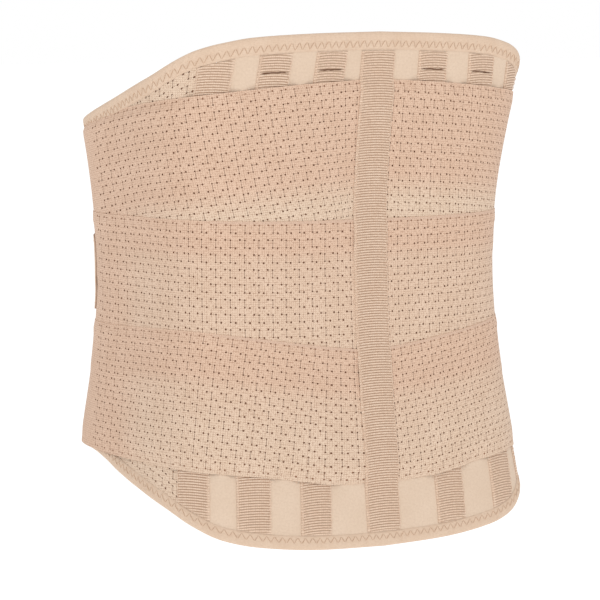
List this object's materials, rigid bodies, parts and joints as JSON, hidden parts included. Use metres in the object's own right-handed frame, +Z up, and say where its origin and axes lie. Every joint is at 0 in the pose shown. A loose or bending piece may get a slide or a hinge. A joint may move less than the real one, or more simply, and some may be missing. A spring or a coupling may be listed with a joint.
{
  "type": "thoracolumbar brace",
  "caption": "Elastic back brace in its worn form: knit back with webbing stay channels, lapped perforated pull bands, a middle strap, bound edges and a plain lapped front.",
  "frame": {"origin": "on the axis of the torso hollow, at the waist", "axes": "+Z up along the torso, +X to the wearer's left, +Y out of the wearer's back"},
  "size_m": [0.2731, 0.2205, 0.3265],
  "materials": {
    "smooth_knit": "matte smooth knit",
    "perforated_elastic": "matte perforated elastic weave",
    "ribbed_webbing": "matte ribbed webbing",
    "binding_tape": "matte folded elastic tape",
    "flap_cloth": "matte brushed cloth"
  },
  "bodies": {
    "root": {"back_panel": "smooth_knit", "side_panel_left": "perforated_elastic", "side_panel_right": "perforated_elastic", "front_panel_left": "flap_cloth", "front_panel_right": "flap_cloth", "stay_channel_left_1": "ribbed_webbing", "stay_channel_left_2": "ribbed_webbing", "stay_channel_left_3": "ribbed_webbing", "stay_channel_right_1": "ribbed_webbing", "stay_channel_right_2": "ribbed_webbing", "stay_channel_right_3": "ribbed_webbing", "upper_band_left": "perforated_elastic", "upper_band_right": "perforated_elastic", "middle_band_left": "perforated_elastic", "middle_band_right": "perforated_elastic", "lower_band_left": "perforated_elastic", "lower_band_right": "perforated_elastic", "center_strap": "ribbed_webbing", "top_binding": "binding_tape", "bottom_binding": "binding_tape"}
  },
  "joints": []
}
